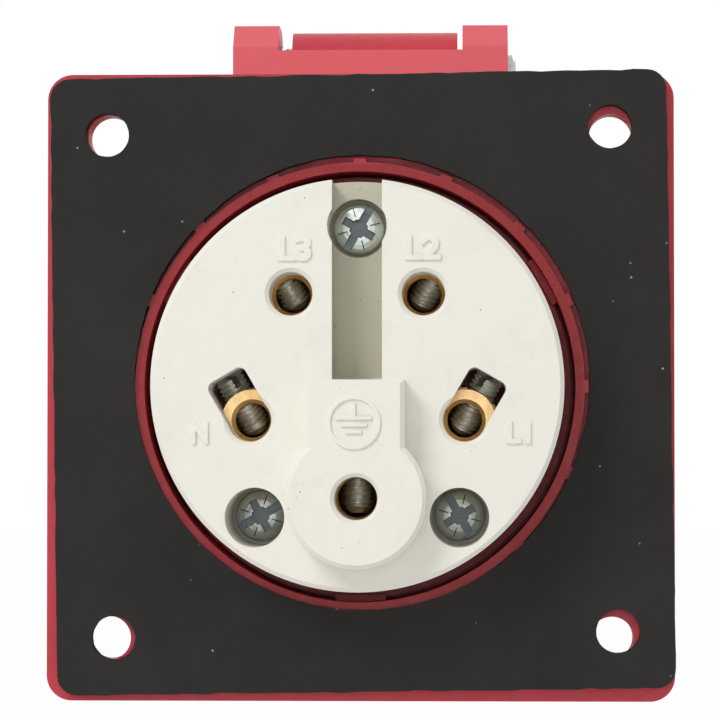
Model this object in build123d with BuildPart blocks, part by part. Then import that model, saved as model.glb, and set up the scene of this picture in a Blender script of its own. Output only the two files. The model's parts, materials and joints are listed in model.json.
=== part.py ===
from build123d import *
import os
from math import cos, radians, sin

os.makedirs("parts", exist_ok=True)

# Panel socket for industrial plugs: three phases, neutral and earth.
# Origin: centre of the gasket face that meets the panel. +Z is up, -Y is the
# side the plug comes from and +Y is the wiring side. Sizes in millimetres.

# Flange and gasket
flange_side = 75.0
flange_thick = 5.0
flange_corner = 3.0
flange_edge = 1.2
hole_pitch = 60.0
hole_radius = 2.6
head_seat_radius = 4.75
head_seat_depth = 1.2
gasket_side = 73.7
gasket_thick = 2.0
gasket_corner = 2.3
gasket_play = 0.15

# Low collar inside the gasket, with its ring of crush nubs
collar_inner = 25.7
collar_wall = 1.1
collar_drop = 0.6
nub_count = 16
nub_rise = 0.45
nub_width = 1.5

# Shroud round the plug
shroud_reach = 50.0
shroud_bore = 28.5
shroud_wall = 3.5
shroud_draft = 0.8
shroud_edge = 0.8
keyway_width = 8.0
keyway_depth = 2.1

# Contact block
block_radius = 23.4
block_flange_radius = 25.3
block_flange_thick = 3.0
block_setback = 6.0
block_edge = 1.0
seat_play = 0.1
seat_thick = 3.0
floor_drop = 4.0
snap_count = 3
snap_width = 6.0
snap_reach = 0.8
snap_height = 1.6
snap_angle = 30

# Terminals: angles are seen from the plug side, counted from +X towards +Z. For each
# pole: its place on the circle, the heading of its screw, and where its sector ends.
terminal_radius = 13.15
poles = {
    "l1": (198, 120, (147, 234)),
    "l2": (126, 120, (90, 147)),
    "l3": (54, 60, (33, 90)),
    "n": (-18, 60, (-54, 33)),
}
earth_angle = -90
earth_sector = (-126, -54)
entry_ledge = 2.5
line_pin_radius = 2.5
line_sleeve_radius = 4.1
earth_pin_radius = 3.5
earth_sleeve_radius = 5.2
pin_play = 0.3
pin_grip_length = 26.0
slit_width = 0.8
slit_length = 22.0
ring_thick = 0.4
ring_width = 1.4
ring_setback = 3.0
ring_opening = 1.6
fit_play = 0.05
barrel_radius = 3.65
wire_bore = 2.05
earth_wire_bore = 2.3
wire_depth = 10.0
mouth_chamfer = 0.45

# Terminal screws
clamp_screw_radius = 1.75
clamp_screw_length = 7.5
clamp_screw_point = 0.8
clamp_tip_reach = 1.75
clamp_screw_drop = 3.3
clamp_tilt = 15
clamp_slot_width = 0.8
clamp_slot_depth = 1.3

# Terminal cover
cover_radius = 24.1
cover_rise = 9.5
cover_edge = 0.5
entry_depth = 6.0
line_entry_radius = 2.55
earth_entry_radius = 2.5
entry_lip = 0.45
slot_width = 4.95
slot_reach = 6.0
slot_corner = 0.9
driver_radius = 2.15
pocket_play = 0.1
channel_width = 5.83
channel_depth = 6.0
earth_boss_rise = 4.5
earth_boss_radius = 8.15
earth_neck_width = 11.2
earth_neck_reach = 13.7
earth_boss_edge = 0.5
earth_top_rise = 0.4

# Three screws that hold the cover to the contact block
top_screw_height = 18.6
low_screw_spread = 11.9
low_screw_drop = 15.4
counterbore_radius = 3.48
top_seat_depth = 8.7
low_seat_depth = 13.7
cover_screw_radius = 1.75
cover_screw_length = 16.0
cover_screw_play = 0.2
cover_screw_spare = 0.8
cover_head_radius = 3.05
cover_head_height = 2.2
head_flat_share = 0.55
head_slope_share = 0.88
head_slope_height = 0.8
head_wall_height = 0.45
recess_width = 0.9
recess_span = 3.4
recess_depth = 1.4

# Hinge at the top of the shroud
pin_rise = 8.0
pin_drop = 0.5
pin_radius = 2.0
pin_head_radius = 2.5
pin_head_thick = 1.1
ear_radius = 6.0
ear_thick = 6.0
ear_gap = 24.4
ear_back = 7.5
ear_waist = 3.1
ear_skirt_gap = 1.5
waist_play = 0.5
knuckle_width = 22.0
knuckle_radius = 5.5
knuckle_shift = -0.5
hinge_play = 0.08
bridge_rise = 2.4
bridge_thick = 1.5

# Lid with its seal
lid_play = 1.0
lid_skirt = 2.0
lid_overlap = 3.0
lid_plate = 3.0
lid_gap = 3.5
lid_dome = 1.0
lid_edge = 1.5
dome_share = 0.6
dome_height = 0.75
seal_inset = 0.3
seal_spread = 0.4
seal_clearance = 0.3
seal_rib = 0.9
seal_rib_height = 2.0
seal_rib_play = 0.1
seal_lip_outer = 1.0
seal_lip_inner = 0.6
tab_width = 18.0
tab_reach = 6.0
tab_thick = 3.6
tab_corner = 3.0
ridge_count = 3
ridge_pitch = 1.6
ridge_radius = 0.4
catch_width = 8.0
catch_height = 3.5
catch_depth = 3.2
catch_place = 22.0

# Closing spring, in the ear on the +X side
wire_radius = 0.4
coil_radius = 3.1
coil_turns = 4.25
coil_pitch = 0.9
spring_play = 0.3
tang_play = 0.1
tang_length = 1.2
tang_bite = 1.6

# Sizes that follow from the ones above
flange_back = -gasket_thick
flange_front = flange_back - flange_thick
block_back = flange_back - floor_drop
seat_back = block_back - block_flange_thick
seat_front = seat_back - seat_thick
rim = flange_back - shroud_reach
block_face = rim + block_setback
sleeve_front = block_face + entry_ledge
line_top = cover_rise - entry_depth
earth_top = cover_rise + earth_boss_rise - entry_depth + earth_top_rise
shroud_outer = shroud_bore + shroud_wall
lid_radius = shroud_outer + lid_play + lid_skirt
seal_inner = shroud_bore + seal_inset
seal_outer = shroud_outer + seal_spread
pin_y = rim + pin_drop
pin_height = lid_radius + pin_rise
bridge_height = pin_height + bridge_rise
ear_half = ear_gap / 2
knuckle_end = knuckle_shift + knuckle_width / 2
spring_start = knuckle_end + wire_radius + spring_play
spring_end = spring_start + coil_turns * coil_pitch
pocket_depth = spring_end + wire_radius - ear_half
tang_y = pin_y - coil_radius * sin(radians(360 * coil_turns))
tang_z = pin_height + coil_radius * cos(radians(360 * coil_turns))


def across(y):
    """Plane square to the socket's axis: x is +X, y is +Z, and it faces the plug."""
    return Plane(origin=(0, y, 0), x_dir=(1, 0, 0), z_dir=(0, -1, 0))


def along(place):
    """Plane through a terminal's axis: x is the radius from it and y is the height."""
    return Plane(origin=(place[0], 0, place[1]), x_dir=(1, 0, 0), z_dir=(0, 0, 1))


def turned(place):
    """The axis of a terminal."""
    return Axis((place[0], 0, place[1]), (0, 1, 0))


def polar(radius, angle):
    """X and Z of a point on a circle round the socket's axis."""
    return (radius * cos(radians(angle)), radius * sin(radians(angle)))


def screw_plane(place, height, heading, tilt):
    """Plane on a clamping screw's axis, at the wire bore, facing the way it unscrews."""
    flat = cos(radians(tilt))
    way = (flat * cos(radians(heading)), sin(radians(tilt)), flat * sin(radians(heading)))
    return Plane(origin=(place[0], height, place[1]), z_dir=way)


# Every terminal: place, pin and sleeve radii, top of its barrel, heading and tilt of its screw
terminals = {}
for pole, (angle, heading, sector) in poles.items():
    terminals[pole] = {
        "sector": sector,
        "place": polar(terminal_radius, angle),
        "pin": line_pin_radius,
        "sleeve": line_sleeve_radius,
        "bore": wire_bore,
        "top": line_top,
        "heading": heading,
        "tilt": clamp_tilt,
    }
terminals["earth"] = {
    "sector": earth_sector,
    "place": polar(terminal_radius, earth_angle),
    "pin": earth_pin_radius,
    "sleeve": earth_sleeve_radius,
    "bore": earth_wire_bore,
    "top": earth_top,
    "heading": -earth_angle,
    "tilt": 0,
}
sector_centre = earth_neck_reach - terminal_radius
sector_reach = 4 * block_radius
cover_screws = {
    "top": ((0, top_screw_height), cover_rise - top_seat_depth),
    "left": ((-low_screw_spread, -low_screw_drop), cover_rise - low_seat_depth),
    "right": ((low_screw_spread, -low_screw_drop), cover_rise - low_seat_depth),
}

def cut_into_sectors(whole, prefix):
    """One sector for each terminal of a round moulding, each its own node, meeting without overlap."""
    for pole, terminal in terminals.items():
        start = polar(sector_reach, terminal["sector"][0])
        end = polar(sector_reach, terminal["sector"][1])
        with BuildPart() as sector:
            add(whole)
            with BuildSketch(across(cover_rise + 2 * earth_boss_rise)):
                with BuildLine():
                    Polyline(
                        (0, sector_centre),
                        (start[0], sector_centre + start[1]),
                        (end[0], sector_centre + end[1]),
                        close=True,
                    )
                make_face()
            extrude(amount=2 * shroud_reach, mode=Mode.INTERSECT)
        sector.part.label = prefix + pole
        export_step(sector.part, "parts/" + prefix + pole + ".step")


# Housing, one moulding in three nodes that meet without overlap: flange, shroud, hinge bracket
with BuildPart() as housing_flange:
    with BuildSketch(across(flange_back)):
        RectangleRounded(flange_side, flange_side, flange_corner)
    extrude(amount=flange_thick)
    front_edges = housing_flange.faces().sort_by(Axis.Y)[0].edges()
    fillet(front_edges, flange_edge)
    # Hole for the contact block, its seat, and the recess behind the seat
    with BuildSketch(Plane.XY):
        with BuildLine():
            Polyline(
                (0, flange_back + flange_thick),
                (shroud_bore, flange_back + flange_thick),
                (shroud_bore, rim),
                (0, rim),
                close=True,
            )
        make_face()
    revolve(axis=Axis.Y, mode=Mode.SUBTRACT)
    with BuildSketch(Plane.XY):
        with BuildLine():
            Polyline(
                (block_radius + seat_play, seat_front),
                (shroud_bore, seat_front),
                (shroud_bore, flange_back),
                (collar_inner, flange_back),
                (collar_inner, seat_back),
                (block_radius + seat_play, seat_back),
                close=True,
            )
        make_face()
    revolve(axis=Axis.Y)
    # Low collar with its nubs
    with BuildSketch(across(-collar_drop)):
        Circle(collar_inner + collar_wall)
        with PolarLocations(collar_inner + collar_wall, nub_count):
            Rectangle(2 * nub_rise, nub_width)
        Circle(collar_inner, mode=Mode.SUBTRACT)
    extrude(amount=-collar_drop - flange_back)
    # Snap lugs that keep the contact block on its seat
    with BuildSketch(across(block_back + snap_height)):
        with PolarLocations(collar_inner, snap_count, start_angle=snap_angle):
            Rectangle(2 * snap_reach, snap_width)
        Circle(collar_inner + collar_wall / 2, mode=Mode.INTERSECT)
    extrude(amount=snap_height)
    # Fixing holes with seats for the screw heads
    with BuildSketch(across(flange_back)):
        with GridLocations(hole_pitch, hole_pitch, 2, 2):
            Circle(hole_radius)
    extrude(amount=flange_thick, mode=Mode.SUBTRACT)
    with BuildSketch(across(flange_front + head_seat_depth)):
        with GridLocations(hole_pitch, hole_pitch, 2, 2):
            Circle(head_seat_radius)
    extrude(amount=head_seat_depth, mode=Mode.SUBTRACT)
housing_flange.part.label = "housing_flange"
export_step(housing_flange.part, "parts/housing_flange.step")

# Shroud: the tube round the plug, with its keyway at six o'clock
with BuildPart() as housing_shroud:
    with BuildSketch(Plane.XY):
        with BuildLine():
            Polyline(
                (shroud_bore, flange_front),
                (shroud_outer + shroud_draft, flange_front),
                (shroud_outer, rim + shroud_edge),
                (shroud_outer - shroud_edge, rim),
                (shroud_bore, rim),
                close=True,
            )
        make_face()
    revolve(axis=Axis.Y)
    with BuildSketch(across(rim)):
        with Locations((0, -shroud_bore)):
            Rectangle(keyway_width, 2 * keyway_depth)
    extrude(amount=seat_front - rim, dir=(0, 1, 0), mode=Mode.SUBTRACT)
housing_shroud.part.label = "housing_shroud"
export_step(housing_shroud.part, "parts/housing_shroud.step")

# Hinge bracket: two ears joined by a bridge, standing on the shroud
with BuildPart() as housing_hinge:
    # Ears, with a waist that stays clear of the lid's skirt
    ear_rear = pin_y + ear_back
    waist_y = rim + lid_overlap + waist_play
    waist_top = lid_radius + ear_skirt_gap
    with BuildSketch(Plane.YZ.offset(-ear_half - ear_thick)):
        with BuildLine():
            Polyline(
                (ear_rear, 0),
                (ear_rear, pin_height),
                (waist_y, pin_height),
                (waist_y, 0),
                close=True,
            )
        make_face()
        with Locations((pin_y, pin_height)):
            Circle(ear_radius)
        with BuildLine():
            Polyline(
                (ear_rear, pin_height + ear_radius - ear_waist),
                (ear_rear - ear_waist, pin_height + ear_radius),
                (pin_y, pin_height + ear_radius),
                (pin_y - ear_radius, pin_height),
                (waist_y, waist_top),
                (ear_rear, waist_top),
                close=True,
            )
        make_face()
    extrude(amount=ear_gap + 2 * ear_thick)
    # Open the space between the ears, down to the bridge at their back
    with BuildSketch(Plane.YZ.offset(-ear_half)):
        with BuildLine():
            Polyline(
                (ear_rear - bridge_thick, pin_height + 2 * ear_radius),
                (ear_rear - bridge_thick, shroud_outer),
                (pin_y - 2 * ear_radius, shroud_outer),
                (pin_y - 2 * ear_radius, pin_height + 2 * ear_radius),
                close=True,
            )
        make_face()
        with Locations((ear_rear, bridge_height + ear_radius)):
            Rectangle(3 * ear_radius, 2 * ear_radius)
    extrude(amount=ear_gap, mode=Mode.SUBTRACT)
    # The saddle that fits the shroud's outside
    with BuildSketch(Plane.XY):
        with BuildLine():
            Polyline(
                (0, flange_front),
                (shroud_outer + shroud_draft, flange_front),
                (shroud_outer, rim + shroud_edge),
                (shroud_outer - shroud_edge, rim),
                (0, rim),
                close=True,
            )
        make_face()
    revolve(axis=Axis.Y, mode=Mode.SUBTRACT)
    # Hole for the hinge pin, and the spring's pocket in the ear on the +X side
    with BuildSketch(Plane.YZ.offset(-ear_half - ear_thick)):
        with Locations((pin_y, pin_height)):
            Circle(pin_radius + fit_play)
    extrude(amount=ear_gap + 2 * ear_thick, mode=Mode.SUBTRACT)
    with BuildSketch(Plane.YZ.offset(ear_half)):
        with Locations((pin_y, pin_height)):
            Circle(coil_radius + wire_radius + spring_play)
    extrude(amount=pocket_depth, mode=Mode.SUBTRACT)
    with BuildSketch(Plane.YZ.offset(ear_half + pocket_depth)):
        with Locations((tang_y, tang_z)):
            Circle(wire_radius + tang_play)
    extrude(amount=tang_length + tang_play, mode=Mode.SUBTRACT)
housing_hinge.part.label = "housing_hinge"
export_step(housing_hinge.part, "parts/housing_hinge.step")

# Gasket between flange and panel
with BuildPart() as flange_gasket:
    with BuildSketch(across(0)):
        RectangleRounded(gasket_side, gasket_side, gasket_corner)
        Circle(collar_inner + collar_wall + nub_rise + gasket_play, mode=Mode.SUBTRACT)
        with GridLocations(hole_pitch, hole_pitch, 2, 2):
            Circle(hole_radius, mode=Mode.SUBTRACT)
    extrude(amount=gasket_thick)
flange_gasket.part.label = "flange_gasket"
export_step(flange_gasket.part, "parts/flange_gasket.step")

# Contact block: the boss that enters the plug, with a pocket for each contact
with BuildPart() as contact_block:
    with BuildSketch(Plane.XY):
        with BuildLine():
            Polyline(
                (0, block_back),
                (block_flange_radius, block_back),
                (block_flange_radius, seat_back),
                (block_radius, seat_back),
                (block_radius, block_face + block_edge),
                (block_radius - block_edge, block_face),
                (0, block_face),
                close=True,
            )
        make_face()
    revolve(axis=Axis.Y)
    for terminal in terminals.values():
        with BuildSketch(along(terminal["place"])):
            with BuildLine():
                Polyline(
                    (0, block_back),
                    (terminal["sleeve"] + pocket_play, block_back),
                    (terminal["sleeve"] + pocket_play, sleeve_front),
                    (terminal["pin"] + pin_play, sleeve_front),
                    (terminal["pin"] + pin_play, block_face + pin_play),
                    (terminal["pin"] + 2 * pin_play, block_face),
                    (0, block_face),
                    close=True,
                )
            make_face()
        revolve(axis=turned(terminal["place"]), mode=Mode.SUBTRACT)
    for place, seat in cover_screws.values():
        with BuildSketch(across(block_back)):
            with Locations(place):
                Circle(cover_screw_radius + fit_play)
        extrude(amount=block_back - seat + cover_screw_length + cover_screw_spare, mode=Mode.SUBTRACT)
cut_into_sectors(contact_block.part, "contact_block_")

# Terminal cover: wire entries, driver holes, channel and the raised earth boss
with BuildPart() as terminal_cover:
    with BuildSketch(across(cover_rise)):
        Circle(cover_radius)
    extrude(amount=cover_rise - block_back)
    chamfer(terminal_cover.faces().sort_by(Axis.Y)[-1].edges(), cover_edge)
    with BuildSketch(across(cover_rise + earth_boss_rise)):
        with Locations((0, -terminal_radius)):
            Circle(earth_boss_radius)
        with Locations((0, sector_centre)):
            Rectangle(earth_neck_width, earth_neck_reach, align=(Align.CENTER, Align.MAX))
    extrude(amount=earth_boss_rise)
    chamfer(terminal_cover.faces().sort_by(Axis.Y)[-1].edges(), earth_boss_edge)
    # Channel for the earth terminal's driver, from the top edge to the boss
    with BuildSketch(across(cover_rise)):
        with Locations((0, sector_centre)):
            Rectangle(channel_width, cover_radius, align=(Align.CENTER, Align.MIN))
    extrude(amount=channel_depth, mode=Mode.SUBTRACT)
    # Pockets for the barrels, wire entries, slots and driver holes
    for terminal in terminals.values():
        x, z = terminal["place"]
        is_earth = terminal["tilt"] == 0
        entry = earth_entry_radius if is_earth else line_entry_radius
        face = cover_rise + earth_boss_rise if is_earth else cover_rise
        with BuildSketch(along((x, z))):
            with BuildLine():
                Polyline(
                    (0, block_back),
                    (barrel_radius + pocket_play, block_back),
                    (barrel_radius + pocket_play, terminal["top"]),
                    (entry, terminal["top"]),
                    (entry, face - entry_lip),
                    (entry + entry_lip, face),
                    (entry + entry_lip, face + entry_lip),
                    (0, face + entry_lip),
                    close=True,
                )
            make_face()
        revolve(axis=turned((x, z)), mode=Mode.SUBTRACT)
        screw_height = terminal["top"] - clamp_screw_drop
        driver_reach = earth_neck_reach if is_earth else 2 * cover_radius
        with BuildSketch(screw_plane((x, z), screw_height, terminal["heading"], terminal["tilt"])):
            Circle(driver_radius)
        extrude(amount=driver_reach, mode=Mode.SUBTRACT)
    for pole in ("l1", "n"):
        x, z = terminals[pole]["place"]
        heading = terminals[pole]["heading"]
        slot_plane = Plane(
            origin=(x, cover_rise, z),
            x_dir=(cos(radians(heading)), 0, sin(radians(heading))),
            z_dir=(0, -1, 0),
        )
        with BuildSketch(slot_plane) as slot:
            Rectangle(slot_reach, slot_width, align=(Align.MIN, Align.CENTER))
            fillet(slot.vertices().sort_by(Axis.X)[-2:], slot_corner)
            Circle(slot_width / 2)
        extrude(amount=cover_rise - block_back, mode=Mode.SUBTRACT)
    # Counterbored holes for the three cover screws
    for place, seat in cover_screws.values():
        with BuildSketch(across(cover_rise)):
            with Locations(place):
                Circle(counterbore_radius)
        extrude(amount=cover_rise - seat, mode=Mode.SUBTRACT)
        with BuildSketch(across(seat)):
            with Locations(place):
                Circle(cover_screw_radius + cover_screw_play)
        extrude(amount=seat - block_back, mode=Mode.SUBTRACT)
cut_into_sectors(terminal_cover.part, "terminal_cover_")

# Contacts: turned brass, a split sleeve for the plug's pin and a drilled barrel for the wire
for pole, terminal in terminals.items():
    place = terminal["place"]
    sleeve = terminal["sleeve"]
    top = terminal["top"]
    bore = terminal["bore"]
    groove_back = sleeve_front + ring_setback + ring_width
    with BuildPart() as contact:
        with BuildSketch(along(place)):
            with BuildLine():
                Polyline(
                    (0, top - wire_depth - bore / 2),
                    (bore, top - wire_depth),
                    (bore, top - mouth_chamfer),
                    (bore + mouth_chamfer, top),
                    (barrel_radius, top),
                    (barrel_radius, block_back),
                    (sleeve, block_back),
                    (sleeve, groove_back),
                    (sleeve - ring_thick, groove_back),
                    (sleeve - ring_thick, groove_back - ring_width),
                    (sleeve, groove_back - ring_width),
                    (sleeve, sleeve_front),
                    (terminal["pin"] + pin_play, sleeve_front),
                    (terminal["pin"], sleeve_front + pin_play),
                    (terminal["pin"], sleeve_front + pin_grip_length),
                    (0, sleeve_front + pin_grip_length + terminal["pin"] / 2),
                    close=True,
                )
            make_face()
        revolve(axis=turned(place))
        with BuildSketch(across(sleeve_front)):
            with Locations(place):
                Rectangle(3 * sleeve, slit_width)
                Rectangle(slit_width, 3 * sleeve)
        extrude(amount=slit_length, dir=(0, 1, 0), mode=Mode.SUBTRACT)
        tapped = screw_plane(place, top - clamp_screw_drop, terminal["heading"], terminal["tilt"])
        with BuildSketch(tapped):
            Circle(clamp_screw_radius + fit_play)
        extrude(amount=2 * barrel_radius, mode=Mode.SUBTRACT)
    contact.part.label = "contact_" + pole
    export_step(contact.part, "parts/contact_" + pole + ".step")

    # Spring ring round the four fingers of the sleeve
    with BuildPart() as ring:
        with BuildSketch(across(groove_back - fit_play)):
            with Locations(place):
                Circle(sleeve)
                Circle(sleeve - ring_thick + fit_play, mode=Mode.SUBTRACT)
            with Locations((place[0] + sleeve, place[1])):
                Rectangle(2 * sleeve, ring_opening, mode=Mode.SUBTRACT)
        extrude(amount=ring_width - 2 * fit_play)
    ring.part.label = "contact_ring_" + pole
    export_step(ring.part, "parts/contact_ring_" + pole + ".step")

    # Clamping screw, driven home across the wire bore
    with BuildPart() as clamp_screw:
        with BuildSketch(tapped.offset(-clamp_tip_reach)):
            Circle(clamp_screw_radius)
        extrude(amount=clamp_screw_length)
        outward = Axis(tapped.origin, tapped.z_dir)
        ends = clamp_screw.faces().filter_by(GeomType.PLANE).sort_by(outward)
        chamfer(ends[0].edges(), clamp_screw_point)
        with BuildSketch(tapped.offset(clamp_screw_length - clamp_tip_reach - clamp_slot_depth)):
            Rectangle(3 * clamp_screw_radius, clamp_slot_width)
        extrude(amount=clamp_slot_depth, mode=Mode.SUBTRACT)
    clamp_screw.part.label = "terminal_screw_" + pole
    export_step(clamp_screw.part, "parts/terminal_screw_" + pole + ".step")

# Cover screws: pan heads with a cross recess
for name, (place, seat) in cover_screws.items():
    with BuildPart() as cover_screw:
        with BuildSketch(along(place)):
            with BuildLine():
                Polyline(
                    (0, seat + cover_head_height),
                    (cover_head_radius * head_flat_share, seat + cover_head_height),
                    (cover_head_radius * head_slope_share, seat + cover_head_height * head_slope_height),
                    (cover_head_radius, seat + cover_head_height * head_wall_height),
                    (cover_head_radius, seat),
                    (cover_screw_radius, seat),
                    (cover_screw_radius, seat - cover_screw_length + cover_screw_radius),
                    (0, seat - cover_screw_length),
                    close=True,
                )
            make_face()
        revolve(axis=turned(place))
        with BuildSketch(across(seat + cover_head_height)):
            with Locations(place):
                Rectangle(recess_span, recess_width)
                Rectangle(recess_width, recess_span)
        extrude(amount=recess_depth, mode=Mode.SUBTRACT)
    cover_screw.part.label = "cover_screw_" + name
    export_step(cover_screw.part, "parts/cover_screw_" + name + ".step")

# Lid: domed plate and skirt, knuckle on a neck, lift tab and inner catch
lid_inner = rim - lid_gap
lid_front = lid_inner - lid_plate
skirt_back = rim + lid_overlap
rib_outer = seal_inner - seal_rib_play
with BuildPart() as lid:
    with BuildSketch(Plane.XY) as lid_section:
        with BuildLine():
            Polyline(
                (0, lid_front - lid_dome),
                (lid_radius * dome_share, lid_front - lid_dome * dome_height),
                (lid_radius - lid_edge, lid_front),
                (lid_radius, lid_front + lid_edge),
                (lid_radius, skirt_back),
                (lid_radius - lid_skirt, skirt_back),
                (lid_radius - lid_skirt, lid_inner),
                (rib_outer, lid_inner),
                (rib_outer, lid_inner + seal_rib_height),
                (rib_outer - seal_rib, lid_inner + seal_rib_height),
                (rib_outer - seal_rib, lid_inner),
                (0, lid_inner),
                close=True,
            )
        make_face()
    revolve(axis=Axis.Y)
    # Knuckle and the neck that joins it to the plate
    with BuildSketch(Plane.YZ.offset(knuckle_shift - knuckle_width / 2)):
        with Locations((pin_y, pin_height)):
            Circle(knuckle_radius)
        with BuildLine():
            Polyline(
                (pin_y - knuckle_radius, pin_height),
                (lid_front, lid_radius),
                (lid_front, lid_radius - 2 * lid_skirt),
                (lid_inner, lid_radius - lid_skirt),
                (skirt_back, lid_radius - lid_skirt),
                (skirt_back, lid_radius),
                (pin_y, pin_height - knuckle_radius),
                (pin_y, pin_height),
                close=True,
            )
        make_face()
    extrude(amount=knuckle_width)
    # Lift tab with grip ridges
    tab_tip = -lid_radius - tab_reach
    with BuildSketch(across(lid_front + tab_thick + lid_edge / 2)):
        with Locations((0, tab_tip)):
            RectangleRounded(tab_width, 4 * tab_reach, tab_corner, align=(Align.CENTER, Align.MIN))
        Circle(lid_radius - lid_skirt, mode=Mode.SUBTRACT)
    extrude(amount=tab_thick)
    for ridge in range(ridge_count):
        with BuildSketch(Plane.YZ.offset(-tab_width / 3)):
            with Locations((lid_front + lid_edge / 2, tab_tip + (ridge + 1) * ridge_pitch)):
                Circle(ridge_radius)
        extrude(amount=tab_width * 2 / 3)
    # Catch that holds a plug's lug while the lid rests on it
    with BuildSketch(Plane.YZ.offset(-catch_width / 2)):
        with BuildLine():
            Polyline(
                (lid_inner, catch_place),
                (lid_inner + catch_depth, catch_place),
                (lid_inner, catch_place - catch_height),
                close=True,
            )
        make_face()
    extrude(amount=catch_width)
    # Bore for the pin and the hole for the spring's tang
    with BuildSketch(Plane.YZ.offset(-ear_half)):
        with Locations((pin_y, pin_height)):
            Circle(pin_radius + hinge_play)
    extrude(amount=ear_gap, mode=Mode.SUBTRACT)
    with BuildSketch(Plane.YZ.offset(knuckle_end)):
        with Locations((pin_y, pin_height + coil_radius)):
            Circle(wire_radius + tang_play)
    extrude(amount=-tang_bite - tang_play, mode=Mode.SUBTRACT)
lid.part.label = "lid"
export_step(lid.part, "parts/lid.step")

# Lid seal, pushed over the rib inside the lid
with BuildPart() as lid_seal:
    seal_front = lid_inner
    seal_back = rim - seal_clearance
    with BuildSketch(Plane.XY):
        with BuildLine():
            Polyline(
                (seal_inner, seal_front),
                (seal_outer, seal_front),
                (seal_outer, seal_front + (seal_back - seal_front) / 2),
                (seal_outer - seal_lip_outer, seal_back),
                (seal_inner + seal_lip_inner, seal_back),
                (seal_inner, seal_front + (seal_back - seal_front) / 2),
                close=True,
            )
        make_face()
    revolve(axis=Axis.Y)
lid_seal.part.label = "lid_seal"
export_step(lid_seal.part, "parts/lid_seal.step")

# Hinge pin: its head stands on the outside of the ear on the -X side
with BuildPart() as hinge_pin:
    with BuildSketch(Plane.YZ.offset(-ear_half - ear_thick)):
        with Locations((pin_y, pin_height)):
            Circle(pin_radius)
    extrude(amount=ear_gap + 2 * ear_thick)
    with BuildSketch(Plane.YZ.offset(-ear_half - ear_thick)):
        with Locations((pin_y, pin_height)):
            Circle(pin_head_radius)
    extrude(amount=-pin_head_thick)
    chamfer(hinge_pin.edges().sort_by(Axis.X)[0], pin_head_thick / 3)
hinge_pin.part.label = "hinge_pin"
export_step(hinge_pin.part, "parts/hinge_pin.step")

# Torsion spring round the pin, one tang in the knuckle and one in the ear
with BuildPart() as lid_spring:
    with BuildLine() as coil:
        Helix(
            pitch=coil_pitch,
            height=coil_turns * coil_pitch,
            radius=coil_radius,
            center=(spring_start, pin_y, pin_height),
            direction=(1, 0, 0),
        )
    with BuildSketch(Plane(origin=coil.line @ 0, z_dir=coil.line % 0)):
        Circle(wire_radius)
    sweep(path=coil.line, is_frenet=True)
    for end, tang in ((0, knuckle_end - tang_bite - spring_start), (1, wire_radius + tang_length)):
        with Locations(coil.line @ end):
            Sphere(wire_radius)
        with BuildSketch(Plane(origin=coil.line @ end, x_dir=(0, 1, 0), z_dir=(1, 0, 0))):
            Circle(wire_radius)
        extrude(amount=tang)
lid_spring.part.label = "lid_spring"
export_step(lid_spring.part, "parts/lid_spring.step")
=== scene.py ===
import bpy
import bmesh
import json
import math
import random
from mathutils import Matrix, Vector


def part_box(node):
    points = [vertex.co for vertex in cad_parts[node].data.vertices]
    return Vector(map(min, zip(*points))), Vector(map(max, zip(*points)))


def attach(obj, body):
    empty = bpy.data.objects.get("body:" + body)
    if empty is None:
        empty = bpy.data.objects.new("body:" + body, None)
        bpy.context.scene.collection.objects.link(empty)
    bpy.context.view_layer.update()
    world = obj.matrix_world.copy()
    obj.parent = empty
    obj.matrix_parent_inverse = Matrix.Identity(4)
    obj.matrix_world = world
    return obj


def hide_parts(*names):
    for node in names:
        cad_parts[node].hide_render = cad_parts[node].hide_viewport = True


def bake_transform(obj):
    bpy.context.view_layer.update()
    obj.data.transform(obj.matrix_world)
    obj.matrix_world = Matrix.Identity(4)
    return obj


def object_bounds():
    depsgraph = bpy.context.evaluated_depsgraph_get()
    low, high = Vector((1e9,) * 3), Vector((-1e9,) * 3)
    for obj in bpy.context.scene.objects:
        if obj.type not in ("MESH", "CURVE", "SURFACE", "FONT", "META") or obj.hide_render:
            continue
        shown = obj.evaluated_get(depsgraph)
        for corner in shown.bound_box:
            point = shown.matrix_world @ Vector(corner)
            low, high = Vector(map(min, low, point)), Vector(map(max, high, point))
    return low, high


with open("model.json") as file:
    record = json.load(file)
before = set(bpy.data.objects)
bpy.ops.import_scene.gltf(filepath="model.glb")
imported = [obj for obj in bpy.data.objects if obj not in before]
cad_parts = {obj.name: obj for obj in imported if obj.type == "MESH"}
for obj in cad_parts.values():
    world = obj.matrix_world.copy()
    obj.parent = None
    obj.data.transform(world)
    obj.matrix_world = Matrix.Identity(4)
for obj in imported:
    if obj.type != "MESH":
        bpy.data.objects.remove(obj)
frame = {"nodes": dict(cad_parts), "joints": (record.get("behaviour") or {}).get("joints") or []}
cad_low, cad_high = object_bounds()
nodes = frame["nodes"]
MM = 0.001

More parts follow.
